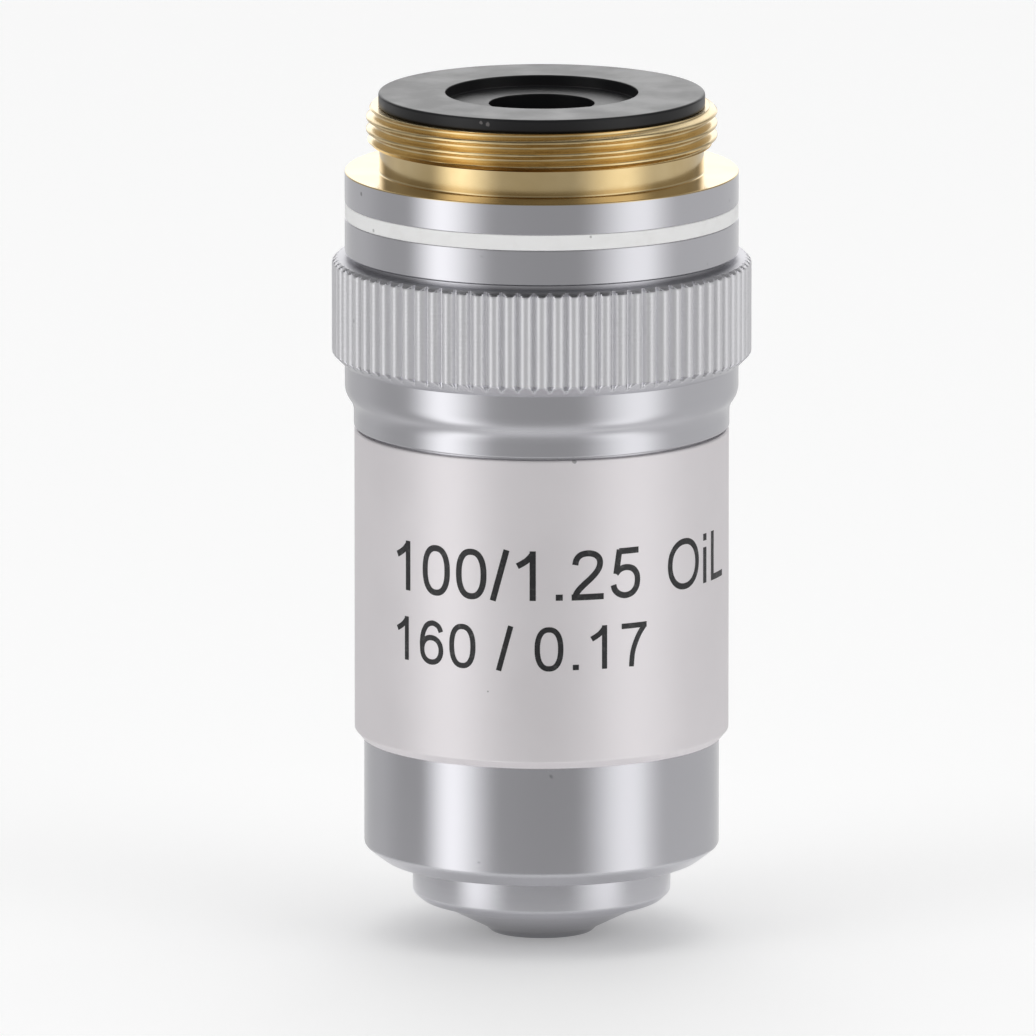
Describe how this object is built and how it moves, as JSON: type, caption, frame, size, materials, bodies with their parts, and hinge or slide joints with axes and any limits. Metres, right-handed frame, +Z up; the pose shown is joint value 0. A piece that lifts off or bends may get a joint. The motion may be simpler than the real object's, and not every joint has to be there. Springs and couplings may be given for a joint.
{
  "type": "microscope objective",
  "caption": "Oil immersion microscope objective with a threaded mount, a knurled grip ring, a marked sleeve and a sprung nose that slides in when its tip is pressed.",
  "frame": {"origin": "centre of the flat front face of the tip, on the optical axis", "axes": "+Z runs up the optical axis from the tip to the mounting thread, and the figures on the sleeve are read from the -Y side"},
  "size_m": [0.0242, 0.0242, 0.0494],
  "materials": {
    "mount_brass": "turned brass, bare on the thread and seat, bright plated on the collar",
    "band_enamel": "white enamel",
    "grip_chrome": "bright plated and knurled",
    "sleeve_satin": "satin plated, with black figures",
    "stop_black": "black anodised",
    "spring_steel": "drawn wire",
    "pin_steel": "ground",
    "nose_chrome": "bright plated, finely turned",
    "inner_brass": "turned",
    "cell_black": "chemically blackened",
    "lens_glass": "polished and coated",
    "flint_glass": "polished and coated"
  },
  "bodies": {
    "outer_body": {"mount_body": "mount_brass", "colour_band": "band_enamel", "grip_ring": "grip_chrome", "barrel_sleeve": "sleeve_satin", "rear_stop": "stop_black", "coil_spring": "spring_steel", "guide_pin": "pin_steel"},
    "sprung_nose": {"nose_barrel": "nose_chrome", "stop_ring": "inner_brass", "stop_ring_screw": "pin_steel", "front_cap": "nose_chrome", "front_lens": "lens_glass", "meniscus_cell": "cell_black", "meniscus_lens": "lens_glass", "spacing_shim": "inner_brass", "lower_doublet_cell": "cell_black", "lower_crown_lens": "lens_glass", "lower_flint_lens": "flint_glass", "lower_retaining_ring": "cell_black", "upper_doublet_cell": "cell_black", "upper_crown_lens": "lens_glass", "upper_flint_lens": "flint_glass", "upper_retaining_ring": "cell_black", "spacer_tube": "cell_black"}
  },
  "joints": [
    {"name": "nose_slide", "type": "slide", "parent": "outer_body", "child": "sprung_nose", "axis": [0, 0, 1], "range_m": [0, 0.002], "stiffness_N_per_m": 217, "springref_m": -0.01, "deforming": ["coil_spring"]}
  ]
}
